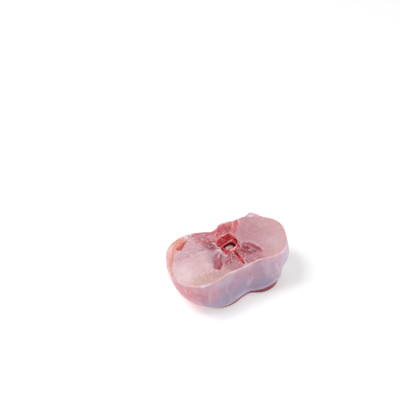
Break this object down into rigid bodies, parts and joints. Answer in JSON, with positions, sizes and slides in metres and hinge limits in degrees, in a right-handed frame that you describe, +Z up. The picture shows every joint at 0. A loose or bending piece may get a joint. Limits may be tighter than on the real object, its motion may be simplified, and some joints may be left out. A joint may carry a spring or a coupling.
{
  "type": "raw rabbit chop",
  "caption": "Raw rabbit saddle chop: a thick cross-cut slice with loin and tenderloin meat around a piece of backbone, a flank flap on one side and silverskin on the back.",
  "frame": {"origin": "centre of the slice's bounding box, on the lower cut face that it lies on", "axes": "+Z up through the slice, square to the cut faces; +X across the saddle from the flank flap's side to the other loin; -Y toward the back with its silverskin, +Y toward the belly side"},
  "size_m": [0.079, 0.0452, 0.0254],
  "materials": {
    "meat": "moist, softly glossy raw meat",
    "flank": "moist, softly glossy raw flank with an orange-pink inner side",
    "bone": "wet cut bone with red marrow",
    "cord": "wet, soft and slightly translucent"
  },
  "bodies": {
    "root": {"loin_meat": "meat", "flank_flap": "flank", "vertebra": "bone", "spinal_cord": "cord"}
  },
  "joints": []
}
